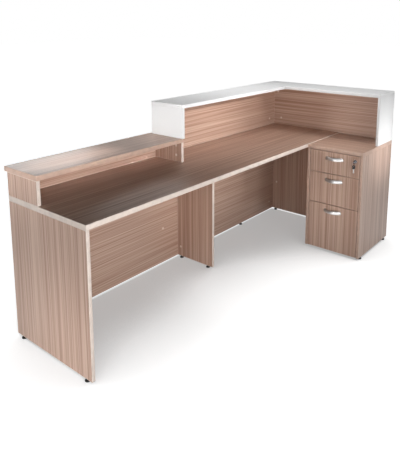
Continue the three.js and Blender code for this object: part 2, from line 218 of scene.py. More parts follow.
class DeskFittings(bpy.types.PropertyGroup):
    """Sizes of the metal and plastic fittings."""

    handle_foot: length("Handle foot", "Length of each foot of a bow handle on the drawer front", 12.0)
    handle_band: length("Handle band", "Thickness of a bow handle at its middle", 7.0)
    handle_rounding: length("Handle rounding", "Rounding of a bow handle's edges", 1.4)
    handle_lean: fraction(
        "Handle lean", "Share of the band by which the top of a bow handle leans back", 0.55
    )
    handle_steps: IntProperty(
        name="Handle steps", description="Sections along a bow handle", default=28, min=4
    )
    lock_tube: length("Lock tube", "Radius of the lock's body behind its flange", 9.0)
    lock_bore: length("Lock bore", "Radius of the bore that holds the barrel", 6.3)
    lock_flange: length("Lock flange", "Thickness of the lock's flange", 2.5)
    lock_rounding: length("Lock rounding", "Rounding of the lock body's edges", 0.8)
    head_thickness: length("Key head", "Thickness of a key's moulded head", 3.4)
    head_length: length("Key head length", "Length of a key's moulded head", 26.0)
    head_rounding: length("Key head corner", "Rounding of the head's corners", 7.0)
    head_border: length("Key head border", "Width of the border round the head's sunk panel", 2.2)
    head_panel: fraction("Key head panel", "Share of the head's thickness left at its sunk panel", 0.8)
    head_edge: length("Key head edge", "Rounding of the head's edges", 0.5)
    key_hole: length("Key hole", "Radius of the hole for the ring", 3.5)
    key_hole_inset: length("Key hole inset", "From the head's end to the middle of its hole", 7.0)
    blade_width: length("Key blade", "Width of a key's blade", 8.5)
    blade_root: length("Key blade root", "How far a key's blade reaches into its head", 3.0)
    blade_tip: length("Key blade tip", "Chamfer of the blade's tip", 2.4)
    blade_border: length("Key blade border", "Width of the border round the blade's groove", 1.6)
    blade_groove: fraction("Key blade groove", "Share of the blade's thickness left at its groove", 0.6)
    blade_edge: length("Key blade edge", "Chamfer of the blade's edges", 0.2)
    spare_twist: angle("Spare key twist", "How far the spare key hangs turned on the ring", -28)
    ring_corner: length("Ring corner", "Chamfer of the ring's wire and depth of its groove", 0.3)
    ring_groove: length("Ring groove", "Half the width of the groove between the ring's turns", 0.12)
    glide_radius: length("Glide radius", "Radius of a glide's pad on the floor", 13.0)
    glide_rounding: length("Glide rounding", "Rounding of a glide's edges", 0.9)


class DeskFinishes(bpy.types.PropertyGroup):
    """Colours of the finishes."""

    walnut_dark: colour("Walnut dark", "Darkest streaks of the walnut print", "a6826f")
    walnut_mid: colour("Walnut middle", "Ground colour of the walnut print", "bf9e8c")
    walnut_light: colour("Walnut light", "Lightest streaks of the walnut print", "d3b7a5")
    lipping_pale: colour(
        "Pale lipping", "Edge lipping of the worktop, the panels and the hutch backs", "e6d7cc"
    )
    lipping_walnut: colour(
        "Walnut lipping", "Edge lipping of the riser top, the return and the drawer fronts", "caaa98"
    )
    white: colour("White", "White laminate", "ececec")
    cap: colour("Cap", "Cover caps", "e9d9ce")
    black: colour("Black", "Black moulded plastic", "211d1d")
    nickel: colour("Nickel", "Satin nickel plate", "c8c4be")
    chrome: colour("Chrome", "Polished chrome plate", "d8dade")
    zinc: colour("Zinc", "Zinc plate", "b7babd")
    enamel: colour("Enamel", "Grey powder coat", "9c9fa2")


class DeskStage(bpy.types.PropertyGroup):
    """Camera, floor and light."""

    camera_place: FloatVectorProperty(
        name="Camera",
        description="Place of the camera",
        default=(-2.47786, -1.82385, 1.59463),
        subtype="TRANSLATION",
    )
    camera_yaw: angle("Yaw", "Turn of the camera about the vertical", -50.7)
    camera_pitch: angle("Pitch", "Tilt of the camera from the level", -10.01)
    lens: FloatProperty(
        name="Lens", description="Focal length in millimetres", default=41.95, min=1, unit="CAMERA"
    )
    shift_x: FloatProperty(name="Shift X", description="Lens shift across", default=-0.02)
    shift_y: FloatProperty(name="Shift Y", description="Lens shift up", default=-0.25)
    key_power: power("Key", "Power of the level strip in front", 16.5)
    fill_power: power("Fill", "Power of the light at the left", 76.0)
    low_power: power("Low", "Power of the light on the foot of the left end", 0.65)
    back_power: power("Back", "Power of the light behind the riser", 1.4)
    riser_power: power("Riser", "Power of the light along the riser", 0.68)
    riser_face_power: power("Riser face", "Power of the light on the riser's inner face", 0.3)
    riser_top_power: power("Riser top", "Power of the light over the riser's left half", 0.2)
    corner_power: power("Corner", "Power of the light over the inner corner", 3.2)
    hutch_power: power("Hutch", "Power of the light over the hutch", 3.8)
    end_power: power("End", "Power of the light on the return's end", 0.62)
    face_power: power("Hutch face", "Power of the light on the hutch's inner face", 1.5)
    drawer_power: power("Drawers", "Power of the light on the drawer fronts", 0.18)
    sky: FloatProperty(name="Sky", description="Strength of the even light overhead", default=0.05, min=0)
    floor: colour("Floor", "Pale studio floor", "a8a8a8")
    floor_glow: FloatProperty(
        name="Floor glow",
        description="How much whiter the open floor looks than its light makes it",
        default=0.98,
    )


class ReceptionDesk(bpy.types.PropertyGroup):
    """All settings of the desk."""

    boards: PointerProperty(type=DeskBoards)
    fittings: PointerProperty(type=DeskFittings)
    finishes: PointerProperty(type=DeskFinishes)
    stage: PointerProperty(type=DeskStage)


# Materials.


def finishes():
    return bpy.context.scene.reception_desk.finishes


def add_node(tree, kind, inputs=None, stops=(), **settings):
    """Adds a node with its settings and a ramp's stops, and links or sets its inputs."""
    made = tree.nodes.new("ShaderNode" + kind)
    for name, value in settings.items():
        setattr(made, name, value)
    for name, value in (inputs or {}).items():
        if isinstance(value, bpy.types.NodeSocket):
            tree.links.new(value, made.inputs[name])
        else:
            made.inputs[name].default_value = value
    if stops:
        elements = made.color_ramp.elements
        while len(elements) < len(stops):
            elements.new(0.5)
        for element, (position, tint) in zip(elements, stops):
            element.position = position
            element.color = tint
    return made


def new_material(name):
    """An empty material and its node tree."""
    material = bpy.data.materials.new(name)
    material.use_nodes = True
    material.node_tree.nodes.clear()
    return material, material.node_tree


def grey(value):
    return (value, value, value, 1)


def darker(tint, share):
    """A colour with a share of its light taken away."""
    return [part * (1 - share) for part in tint[:3]] + [1]


def stretch(axis, along, across):
    """Scale of a pattern that is long along one axis and narrow across it, from sizes in millimetres."""
    scale = [1 / (across * MM)] * 3
    scale["XYZ".index(axis)] = 1 / (along * MM)
    return scale


def walnut_laminate(axis):
    """Melamine laminate with a straight-grained walnut print: broad bands, streaks and fine pores, all
    along one axis, pressed with a satin texture that follows the grain. The pores are drawn coarser than
    real ones."""
    name = "walnut_laminate_" + axis.lower()
    found = bpy.data.materials.get(name)
    if found:
        return found
    material, tree = new_material(name)
    place = add_node(tree, "TexCoord").outputs["Object"]
    layers = []
    for along, across, shift, detail in WALNUT_LAYERS:
        drawn = add_node(
            tree,
            "Mapping",
            {"Vector": place, "Scale": stretch(axis, along, across), "Location": (shift, shift, shift)},
        )
        noise = add_node(
            tree, "TexNoise", {"Vector": drawn.outputs["Vector"], "Scale": 1.0, "Detail": detail}
        )
        layers.append(noise.outputs["Fac"])
    bands, streaks, pores = layers
    broad = add_node(tree, "Mix", {"Factor": 0.82, "A": bands, "B": streaks}, data_type="FLOAT")
    print_depth = add_node(
        tree, "Mix", {"Factor": 0.3, "A": broad.outputs["Result"], "B": pores}, data_type="FLOAT"
    )
    tone = add_node(
        tree,
        "ValToRGB",
        {"Fac": print_depth.outputs["Result"]},
        stops=(
            (0.36, finishes().walnut_dark[:]),
            (0.5, finishes().walnut_mid[:]),
            (0.64, finishes().walnut_light[:]),
        ),
    )
    sheen = add_node(tree, "ValToRGB", {"Fac": pores}, stops=((0.35, grey(0.42)), (0.6, grey(0.3))))
    relief = add_node(tree, "Bump", {"Height": pores, "Strength": 0.12, "Distance": 0.2 * MM})
    surface = add_node(
        tree,
        "BsdfPrincipled",
        {
            "Base Color": tone.outputs["Color"],
            "Roughness": sheen.outputs["Color"],
            "Normal": relief.outputs["Normal"],
            "IOR": 1.5,
        },
    )
    add_node(tree, "OutputMaterial", {"Surface": surface.outputs["BSDF"]})
    return material


def edge_lipping(tint):
    """ABS edge lipping, extruded and printed in one wood tone: even and satin, with faint clouds."""
    name = "edge_lipping_abs_" + tint
    found = bpy.data.materials.get(name)
    if found:
        return found
    base = getattr(finishes(), "lipping_" + tint)
    material, tree = new_material(name)
    place = add_node(tree, "TexCoord").outputs["Object"]
    cloud = 35 * MM
    clouds = add_node(tree, "TexNoise", {"Vector": place, "Scale": 1 / cloud, "Detail": 3.0})
    tone = add_node(
        tree,
        "ValToRGB",
        {"Fac": clouds.outputs["Fac"]},
        stops=((0.35, darker(base, 0.12)), (0.62, base[:])),
    )
    relief = add_node(
        tree, "Bump", {"Height": clouds.outputs["Fac"], "Strength": 0.08, "Distance": 0.15 * MM}
    )
    surface = add_node(
        tree,
        "BsdfPrincipled",
        {
            "Base Color": tone.outputs["Color"],
            "Roughness": 0.4,
            "IOR": 1.53,
            "Normal": relief.outputs["Normal"],
        },
    )
    add_node(tree, "OutputMaterial", {"Surface": surface.outputs["BSDF"]})
    return material


def moulded(name, base, grain, contrast, roughness, ior, depth):
    """A pressed or moulded plain surface: one colour that varies a little, over a fine pebbled texture.
    The pebbles are drawn at the grain size given in millimetres, coarse enough to show."""
    found = bpy.data.materials.get(name)
    if found:
        return found
    material, tree = new_material(name)
    place = add_node(tree, "TexCoord").outputs["Object"]
    pebble = grain * MM
    cloud = 40 * pebble
    uneven = 0.05
    clouds = add_node(tree, "TexNoise", {"Vector": place, "Scale": 1 / cloud, "Detail": 2.0})
    pebbles = add_node(tree, "TexNoise", {"Vector": place, "Scale": 1 / pebble, "Detail": 1.0})
    tone = add_node(
        tree,
        "ValToRGB",
        {"Fac": clouds.outputs["Fac"]},
        stops=((0.3, darker(base, contrast)), (0.7, base[:])),
    )
    gloss = add_node(
        tree,
        "ValToRGB",
        {"Fac": pebbles.outputs["Fac"]},
        stops=((0.3, grey(roughness - uneven)), (0.7, grey(roughness + uneven))),
    )
    relief = add_node(
        tree, "Bump", {"Height": pebbles.outputs["Fac"], "Strength": 0.2, "Distance": depth * MM}
    )
    surface = add_node(
        tree,
        "BsdfPrincipled",
        {
            "Base Color": tone.outputs["Color"],
            "Roughness": gloss.outputs["Color"],
            "IOR": ior,
            "Normal": relief.outputs["Normal"],
        },
    )
    add_node(tree, "OutputMaterial", {"Surface": surface.outputs["BSDF"]})
    return material


def plated(name, base, axis, along, across, smooth, rough, depth):
    """Plated metal with the marks of its finishing: long fine lines where it is brushed, even mottle where
    it is dipped or polished. Sizes of the marks are in millimetres, and the roughness goes from smooth to
    rough with them."""
    found = bpy.data.materials.get(name)
    if found:
        return found
    material, tree = new_material(name)
    place = add_node(tree, "TexCoord").outputs["Object"]
    drawn = add_node(tree, "Mapping", {"Vector": place, "Scale": stretch(axis, along, across)})
    marks = add_node(tree, "TexNoise", {"Vector": drawn.outputs["Vector"], "Scale": 1.0, "Detail": 2.0})
    gloss = add_node(
        tree, "ValToRGB", {"Fac": marks.outputs["Fac"]}, stops=((0.3, grey(smooth)), (0.7, grey(rough)))
    )
    tone = add_node(
        tree,
        "ValToRGB",
        {"Fac": marks.outputs["Fac"]},
        stops=((0.3, darker(base, 0.1)), (0.7, base[:])),
    )
    relief = add_node(
        tree, "Bump", {"Height": marks.outputs["Fac"], "Strength": 0.1, "Distance": depth * MM}
    )
    surface = add_node(
        tree,
        "BsdfPrincipled",
        {
            "Base Color": tone.outputs["Color"],
            "Metallic": 1.0,
            "Roughness": gloss.outputs["Color"],
            "Normal": relief.outputs["Normal"],
        },
    )
    add_node(tree, "OutputMaterial", {"Surface": surface.outputs["BSDF"]})
    return material


def white_laminate():
    """White melamine laminate, pressed with a faint pearl texture."""
    return moulded(
        "white_laminate", finishes().white, grain=3.0, contrast=0.02, roughness=0.36, ior=1.5, depth=0.1
    )


def cap_plastic():
    """Polypropylene cover caps, moulded in the tone of the lipping."""
    return moulded(
        "cap_polypropylene", finishes().cap, grain=1.0, contrast=0.05, roughness=0.45, ior=1.49, depth=0.05
    )


def black_plastic():
    """Black ABS, moulded with a fine spark-eroded texture."""
    return moulded(
        "black_abs", finishes().black, grain=0.8, contrast=0.2, roughness=0.45, ior=1.53, depth=0.08
    )


def grey_enamel():
    """Grey epoxy powder coat on folded steel: satin, with a fine orange peel."""
    return moulded(
        "grey_powder_coat", finishes().enamel, grain=2.2, contrast=0.05, roughness=0.42, ior=1.5, depth=0.12
    )


def satin_nickel():
    """Zinc casting plated with nickel and brushed along its length."""
    return plated(
        "satin_nickel", finishes().nickel, "Y", along=40, across=0.9, smooth=0.2, rough=0.34, depth=0.04
    )


def chrome_plate():
    """Brass plated with bright chrome and polished: clear reflections, hardly any marks."""
    return plated(
        "chrome_plate", finishes().chrome, "X", along=8, across=8, smooth=0.16, rough=0.28, depth=0.01
    )


def zinc_plate():
    """Rolled steel strip, zinc plated: dull, with a faint cloudy mottle along the rolling direction."""
    return plated(
        "zinc_plate", finishes().zinc, "X", along=60, across=9, smooth=0.3, rough=0.46, depth=0.03
    )


def studio_paper():
    """Matt paper of the studio floor. The camera and reflections see it whiter than its light makes it, and
    a painted shadow makes it darker where a board stands near."""
    stage = bpy.context.scene.reception_desk.stage
    material, tree = new_material("studio_floor")
    paper = add_node(tree, "BsdfDiffuse", {"Color": stage.floor[:]})
    # Painted shadow: ambient occlusion turns the floor's glow grey where a board stands near.
    nearness = add_node(tree, "AmbientOcclusion", {"Distance": 1.0}, samples=24)
    painted_shadow = add_node(
        tree,
        "ValToRGB",
        {"Fac": nearness.outputs["AO"]},
        stops=((0.28, grey(0.36)), (0.5, grey(0.7)), (0.8, grey(1.0))),
    )
    path = add_node(tree, "LightPath").outputs
    mirrored = add_node(
        tree, "Math", {0: path["Is Camera Ray"], 1: path["Is Glossy Ray"]}, operation="MAXIMUM"
    )
    seen = add_node(
        tree, "Math", {0: mirrored.outputs[0], 1: path["Is Transmission Ray"]}, operation="MAXIMUM"
    )
    strength = add_node(
        tree, "Mix", {"Factor": seen.outputs[0], "A": 0.0, "B": stage.floor_glow}, data_type="FLOAT"
    )
    # The glow whitens the open floor and carries the painted shadow of the nearby boards.
    glow_with_painted_shadow = add_node(
        tree, "Emission", {"Color": painted_shadow.outputs["Color"], "Strength": strength.outputs["Result"]}
    )
    lit = add_node(tree, "AddShader", {0: paper.outputs["BSDF"], 1: glow_with_painted_shadow.outputs["Emission"]})
    add_node(tree, "OutputMaterial", {"Surface": lit.outputs["Shader"]})
    return material


def studio_air():
    """White cove of the studio, bright at the horizon and dim overhead."""
    world = bpy.data.worlds.new("studio")
    world.use_nodes = True
    tree = world.node_tree
    tree.nodes.clear()
    rise = add_node(tree, "SeparateXYZ", {"Vector": add_node(tree, "TexCoord").outputs["Generated"]})
    cove = add_node(
        tree,
        "ValToRGB",
        {"Fac": rise.outputs["Z"]},
        stops=((0.12, grey(1.0)), (0.34, grey(bpy.context.scene.reception_desk.stage.sky))),
    )
    air = add_node(tree, "Background", {"Color": cove.outputs["Color"], "Strength": 1.0})
    add_node(tree, "OutputWorld", {"Surface": air.outputs["Background"]})
    return world


# Modelling.


def start_piece():
    """Leaves edit mode and selects nothing, so that a new primitive stands alone."""
    if bpy.context.object and bpy.context.object.mode != "OBJECT":
        bpy.ops.object.mode_set(mode="OBJECT")
    bpy.ops.object.select_all(action="DESELECT")


def choose(piece, kind, test):
    """Selects the faces, edges or corners that pass a test, in edit mode."""
    bpy.ops.mesh.select_mode(type=kind)
    bpy.ops.mesh.select_all(action="DESELECT")
    shape = bmesh.from_edit_mesh(piece.data)
    shape.normal_update()
    for part in {"FACE": shape.faces, "EDGE": shape.edges, "VERT": shape.verts}[kind]:
        if test(part):
            part.select_set(True)
    bmesh.update_edit_mesh(piece.data)


def apply_place(piece):
    """Moves a piece's place, turn and size into its mesh."""
    bpy.ops.object.mode_set(mode="OBJECT")
    bpy.context.view_layer.objects.active = piece
    bpy.ops.object.transform_apply(location=True, rotation=True, scale=True)


def apply_modifier(piece, modifier):
    bpy.ops.object.select_all(action="DESELECT")
    piece.select_set(True)
    bpy.context.view_layer.objects.active = piece
    bpy.ops.object.modifier_apply(modifier=modifier.name)


def cut(piece, cutter):
    """Cuts one solid out of another."""
    modifier = piece.modifiers.new("cut", "BOOLEAN")
    modifier.operation = "DIFFERENCE"
    modifier.solver = "EXACT"
    modifier.object = cutter
    apply_modifier(piece, modifier)
    bpy.data.objects.remove(cutter, do_unlink=True)


def soften(piece, radius, segments=2, degrees=40):
    """Rounds the edges of a piece that turn more than an angle."""
    modifier = piece.modifiers.new("rounding", "BEVEL")
    modifier.width = radius
    modifier.segments = segments
    modifier.limit_method = "ANGLE"
    modifier.angle_limit = math.radians(degrees)
    apply_modifier(piece, modifier)


def place_piece(piece, name, slot, body, *nodes):
    """Names a finished piece, shades it, and puts it on its body in place of its nodes."""
    start_piece()
    piece.select_set(True)
    apply_place(piece)
    bpy.ops.object.shade_smooth_by_angle(angle=SMOOTH_BELOW)
    piece.name = name
    piece.data.name = name
    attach(piece, body)
    if nodes:
        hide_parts(*nodes)
    piece.select_set(False)


def add_box(low, high):
    """A block between two corners, with its place in its mesh."""
    start_piece()
    low, high = Vector(low), Vector(high)
    bpy.ops.mesh.primitive_cube_add(size=1, location=(low + high) / 2)
    bpy.context.object.scale = high - low
    apply_place(bpy.context.object)
    return bpy.context.object


def add_board(node, face, edge, slot, mitre=None, hole=None, notch=None):
    """A lipped board: broad faces of laminate inside a rim of lipping whose edges are rounded. A mitre is a
    point and the direction that is cut away, a hole the middle of a round one through the board along X, a
    notch the corners of the block that is cut out."""
    boards = bpy.context.scene.reception_desk.boards
    low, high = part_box(node)
    size = high - low
    thin = min(range(3), key=lambda axis: size[axis])
    piece = add_box(low, high)
    piece.data.materials.append(edge)
    piece.data.materials.append(face)
    bpy.ops.object.mode_set(mode="EDIT")
    if mitre:
        bpy.ops.mesh.select_all(action="SELECT")
        bpy.ops.mesh.bisect(plane_co=mitre[0], plane_no=mitre[1], use_fill=True, clear_outer=True)
    bpy.ops.mesh.select_mode(type="EDGE")
    bpy.ops.mesh.select_all(action="SELECT")
    bpy.ops.mesh.bevel(offset=boards.edge_radius, segments=3, affect="EDGES")
    choose(
        piece, "FACE", lambda part: abs(part.normal[thin]) > ALONG and part.calc_area() > BROAD
    )
    bpy.ops.mesh.inset(thickness=boards.lipping - boards.edge_radius, use_individual=True)
    piece.active_material_index = 1
    bpy.ops.object.material_slot_assign()
    bpy.ops.object.mode_set(mode="OBJECT")
    if hole:
        start_piece()
        bpy.ops.mesh.primitive_cylinder_add(
            vertices=48,
            radius=boards.front_hole,
            depth=4 * size.x,
            location=hole,
            rotation=(0, QUARTER, 0),
        )
        cut(piece, bpy.context.object)
    if notch:
        cut(piece, add_box(*notch))
    place_piece(piece, node + "_board", slot, BODY_OF[node], node)


def add_walnut_board(node, **shape):
    """A board with walnut faces, whose grain and lipping follow where it stands."""
    axis = "X" if node in GRAIN_ALONG_X else "Y" if node in GRAIN_ALONG_Y else "Z"
    tint = "walnut" if node in WALNUT_EDGED else "pale"
    add_board(node, walnut_laminate(axis), edge_lipping(tint), "walnut_board", **shape)


def add_white_board(node, **shape):
    """A board that is white all round."""
    add_board(node, white_laminate(), white_laminate(), "white_board", **shape)


def add_turned(points, centre, axis, out, steps):
    """A turned piece: a line through points of (radius, distance along the axis), spun about that axis."""
    start_piece()
    axis, out, centre = Vector(axis), Vector(out), Vector(centre)
    spots = [centre + out * radius + axis * along for radius, along in points]
    bpy.ops.mesh.primitive_plane_add(size=MM, location=spots[0])
    piece = bpy.context.object
    apply_place(piece)
    bpy.ops.object.mode_set(mode="EDIT")
    bpy.ops.mesh.select_mode(type="VERT")
    bpy.ops.mesh.select_all(action="SELECT")
    bpy.ops.mesh.merge(type="CENTER")
    for before, after in zip(spots, spots[1:]):
        bpy.ops.mesh.extrude_vertices_move(TRANSFORM_OT_translate={"value": after - before})
    bpy.ops.mesh.select_all(action="SELECT")
    bpy.ops.mesh.spin(steps=steps, angle=math.tau, center=centre, axis=axis)
    bpy.ops.mesh.select_all(action="SELECT")
    bpy.ops.mesh.remove_doubles(threshold=WELD)
    bpy.ops.mesh.normals_make_consistent(inside=False)
    bpy.ops.object.mode_set(mode="OBJECT")
    return piece


def copy_piece(piece, shift, turn=Matrix()):
    """A copy with its own mesh, turned about the origin and then moved."""
    start_piece()
    piece.select_set(True)
    bpy.context.view_layer.objects.active = piece
    bpy.ops.object.duplicate()
    made = bpy.context.object
    made.matrix_world = Matrix.Translation(shift) @ turn
    apply_place(made)
    return made


def join_pieces(pieces):
    """One piece of several."""
    start_piece()
    for piece in pieces:
        piece.select_set(True)
    bpy.context.view_layer.objects.active = pieces[0]
    bpy.ops.object.join()
    return pieces[0]


# Pieces.


class DESK_OT_main_run(bpy.types.Operator):
    """Worktop, end panels, middle support and modesty panels"""

    bl_idname = "reception_desk.main_run"
    bl_label = "Main Run"

    def execute(self, context):
        for node in MAIN_RUN:
            add_walnut_board(node)
        return {"FINISHED"}


class DESK_OT_riser(bpy.types.Operator):
    """Low riser at the left of the public edge"""

    bl_idname = "reception_desk.riser"
    bl_label = "Riser"

    def execute(self, context):
        for node in RISER:
            add_walnut_board(node)
        return {"FINISHED"}


class DESK_OT_hutch(bpy.types.Operator):
    """White hutch, mitred at its corner, with walnut backs, one of them notched over the worktop"""

    bl_idname = "reception_desk.hutch"
    bl_label = "Hutch"

    def execute(self, context):
        for node, side in (("hutch_top_main", 1), ("hutch_top_return", -1)):
            add_white_board(node, mitre=(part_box(node)[1], (side, -side, 0)))
        for node in HUTCH_ENDS:
            add_white_board(node)
        add_walnut_board("hutch_back_main")
        worktop_low, worktop_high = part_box("main_worktop")
        back_low, back_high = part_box("hutch_back_return")
        notch_low = (back_low.x - CUT_OVER, worktop_low.y - SEAM, back_low.z - CUT_OVER)
        notch_high = (back_high.x + CUT_OVER, back_high.y + CUT_OVER, worktop_high.z + SEAM)
        add_walnut_board("hutch_back_return", notch=(notch_low, notch_high))
        return {"FINISHED"}


class DESK_OT_pedestal(bpy.types.Operator):
    """Return top and the pedestal's fixed boards"""

    bl_idname = "reception_desk.pedestal"
    bl_label = "Pedestal"

    def execute(self, context):
        for node in PEDESTAL:
            add_walnut_board(node)
        return {"FINISHED"}


class DESK_OT_drawer_fronts(bpy.types.Operator):
    """Drawer fronts, the top one bored for its lock"""

    bl_idname = "reception_desk.drawer_fronts"
    bl_label = "Drawer Fronts"

    def execute(self, context):
        low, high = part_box("lock_body")
        for level in DRAWERS:
            add_walnut_board(level + "_drawer_front", hole=(low + high) / 2 if level == "top" else None)
        return {"FINISHED"}


def bow_arc(half, rise):
    """Radius of an arc, how far its centre lies behind its ends, and half its sweep, from half its width
    and its rise."""
    radius = (half * half + rise * rise) / (2 * rise)
    return radius, radius - rise, math.atan2(half, radius - rise)


def bow_point(arc, share, foot):
    """A point on an arc, at a share of its half sweep from the middle."""
    radius, behind, sweep = arc
    swing = share * sweep
    return Vector((foot.x + behind - radius * math.cos(swing), foot.y + radius * math.sin(swing), foot.z))


def bow_section(fittings, front, back, low, high):
    """One upright section of a bow handle, from front to back, with the top of its front leaning back."""
    across = back - front
    bpy.ops.mesh.primitive_grid_add(
        x_subdivisions=1,
        y_subdivisions=2,
        size=1,
        location=(front + back) / 2,
        rotation=(QUARTER, 0, math.atan2(across.y, across.x)),
    )
    section = bpy.context.object
    section.scale = (across.length, high.z - low.z, 1)
    apply_place(section)
    crown = Vector((front.x, front.y, high.z))
    bpy.ops.object.mode_set(mode="EDIT")
    choose(section, "VERT", lambda part: (part.co - crown).length < NEAR)
    bpy.ops.transform.translate(value=fittings.handle_lean * across)
    bpy.ops.object.mode_set(mode="OBJECT")
    return section


def bow_handle(fittings, low, high):
    """A bow handle: a crescent drawn through sections from foot to foot, with rounded edges."""
    middle = (low + high) / 2
    reach = high.x - low.x
    half = (high.y - low.y) / 2
    arcs = (bow_arc(half, reach), bow_arc(half - fittings.handle_foot, reach - fittings.handle_band))
    foot = Vector((high.x, middle.y, middle.z))
    handle = None
    start_piece()
    for step in range(fittings.handle_steps + 1):
        share = 2 * step / fittings.handle_steps - 1
        front, back = (bow_point(arc, share, foot) for arc in arcs)
        section = bow_section(fittings, front, back, low, high)
        handle = join_pieces([handle, section]) if handle else section
        bpy.ops.object.select_all(action="DESELECT")
    handle.select_set(True)
    bpy.ops.object.mode_set(mode="EDIT")
    bpy.ops.mesh.select_mode(type="EDGE")
    bpy.ops.mesh.select_all(action="SELECT")
    bpy.ops.mesh.delete(type="ONLY_FACE")
    choose(handle, "EDGE", lambda part: all(abs(vert.co.z - middle.z) < NEAR for vert in part.verts))
    bpy.ops.mesh.delete(type="EDGE")
    bpy.ops.mesh.select_all(action="SELECT")
    bpy.ops.mesh.bridge_edge_loops()
    bpy.ops.mesh.select_all(action="DESELECT")
    bpy.ops.mesh.select_non_manifold()
    bpy.ops.mesh.edge_face_add()
    bpy.ops.mesh.select_all(action="SELECT")
    bpy.ops.mesh.normals_make_consistent(inside=False)
    choose(
        handle,
        "EDGE",
        lambda part: part.calc_face_angle(0) > SHARP
        and min(vert.co.x for vert in part.verts) < high.x - NEAR,
    )
    bpy.ops.mesh.bevel(offset=fittings.handle_rounding, segments=4, affect="EDGES")
    bpy.ops.object.mode_set(mode="OBJECT")
    handle.data.materials.clear()
    handle.data.materials.append(satin_nickel())
    return handle


class DESK_OT_handles(bpy.types.Operator):
    """Bow handles of the three drawers"""

    bl_idname = "reception_desk.handles"
    bl_label = "Handles"

    def execute(self, context):
        low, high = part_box("top_drawer_handle")
        first = bow_handle(context.scene.reception_desk.fittings, low, high)
        handles = [first] + [
            copy_piece(first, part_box(level + "_drawer_handle")[0] - low) for level in DRAWERS[1:]
        ]
        for level, piece in zip(DRAWERS, handles):
            node = level + "_drawer_handle"
            place_piece(piece, node + "_bow", "satin_nickel", BODY_OF[node], node)
        return {"FINISHED"}


class DESK_OT_steelwork(bpy.types.Operator):
    """Finishes of the drawer trays, the runners and the lock rail, whose shapes come from the model"""

    bl_idname = "reception_desk.steelwork"
    bl_label = "Trays, Runners and Lock Rail"

    def execute(self, context):
        for name, node in frame["nodes"].items():
            if name.endswith("_tray"):
                node.material_slots[0].material = grey_enamel()
            elif "_runner_" in name or name == "lock_rail":
                node.material_slots[0].material = zinc_plate()
        return {"FINISHED"}


class DESK_OT_lock(bpy.types.Operator):
    """Cylinder lock: a turned body with a rounded flange, and its barrel"""

    bl_idname = "reception_desk.lock"
    bl_label = "Lock"

    def execute(self, context):
        fittings = context.scene.reception_desk.fittings
        low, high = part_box("lock_body")
        depth = high.x - low.x
        flange = (high.y - low.y) / 2
        centre = Vector((low.x, (low.y + high.y) / 2, (low.z + high.z) / 2))
        bore = fittings.lock_bore
        tube = fittings.lock_tube
        step = fittings.lock_flange
        outline = (
            (bore, 0), (flange, 0), (flange, step), (tube, step), (tube, depth), (bore, depth), (bore, 0)
        )
        body = add_turned(outline, centre, axis=(1, 0, 0), out=(0, 0, 1), steps=48)
        soften(body, fittings.lock_rounding, segments=3)
        body.data.materials.append(chrome_plate())
        place_piece(body, "lock_body_turned", "chrome", BODY_OF["lock_body"], "lock_body")
        frame["nodes"]["lock_barrel"].material_slots[0].material = chrome_plate()
        return {"FINISHED"}


def key_head(fittings, low, high, hole):
    """A key's moulded head: rounded corners, a sunk panel on each face, and the hole for the ring."""
    middle = (low + high) / 2
    half = fittings.head_thickness / 2
    head = add_box(
        (low.x, middle.y - half, low.z), (low.x + fittings.head_length, middle.y + half, high.z)
    )
    bpy.ops.object.mode_set(mode="EDIT")
    choose(head, "EDGE", lambda part: abs(part.verts[0].co.y - part.verts[1].co.y) > half)
    bpy.ops.mesh.bevel(offset=fittings.head_rounding, segments=8, affect="EDGES")
    choose(head, "FACE", lambda part: abs(part.normal.y) > ALONG)
    bpy.ops.mesh.inset(thickness=fittings.head_border)
    bpy.ops.transform.resize(value=(1, fittings.head_panel, 1), center_override=middle)
    start_piece()
    bpy.ops.mesh.primitive_cylinder_add(
        vertices=32,
        radius=fittings.key_hole,
        depth=2 * CUT_OVER,
        location=hole,
        rotation=(QUARTER, 0, 0),
    )
    cut(head, bpy.context.object)
    soften(head, fittings.head_edge, degrees=30)
    head.data.materials.append(black_plastic())
    return head


def key_blade(fittings, low, high):
    """A key's steel blade: a chamfered tip, a groove milled in each face, and cuts along its upper edge."""
    middle = (low + high) / 2
    shoulder = low.x + fittings.head_length
    half = fittings.blade_width / 2
    blade = add_box(
        (shoulder - fittings.blade_root, low.y, middle.z - half), (high.x, high.y, middle.z + half)
    )
    bpy.ops.object.mode_set(mode="EDIT")
    choose(
        blade,
        "EDGE",
        lambda part: all(vert.co.x > high.x - WELD for vert in part.verts)
        and abs(part.verts[0].co.y - part.verts[1].co.y) > (high.y - low.y) / 2,
    )
    bpy.ops.mesh.bevel(offset=fittings.blade_tip, segments=1, affect="EDGES")
    choose(blade, "FACE", lambda part: abs(part.normal.y) > ALONG)
    bpy.ops.mesh.inset(thickness=fittings.blade_border)
    bpy.ops.transform.resize(value=(1, fittings.blade_groove, 1), center_override=middle)
    for distance, depth in KEY_CUTS:
        start_piece()
        bpy.ops.mesh.primitive_cube_add(
            size=1,
            location=(shoulder + distance * MM, middle.y, middle.z + half),
            rotation=(0, QUARTER / 2, 0),
        )
        notch = bpy.context.object
        notch.scale = (KEY_CUT_SIDE * depth * MM, 2 * CUT_OVER, KEY_CUT_SIDE * depth * MM)
        apply_place(notch)
        cut(blade, notch)
    soften(blade, fittings.blade_edge, segments=1, degrees=30)
    blade.data.materials.append(satin_nickel())
    return blade


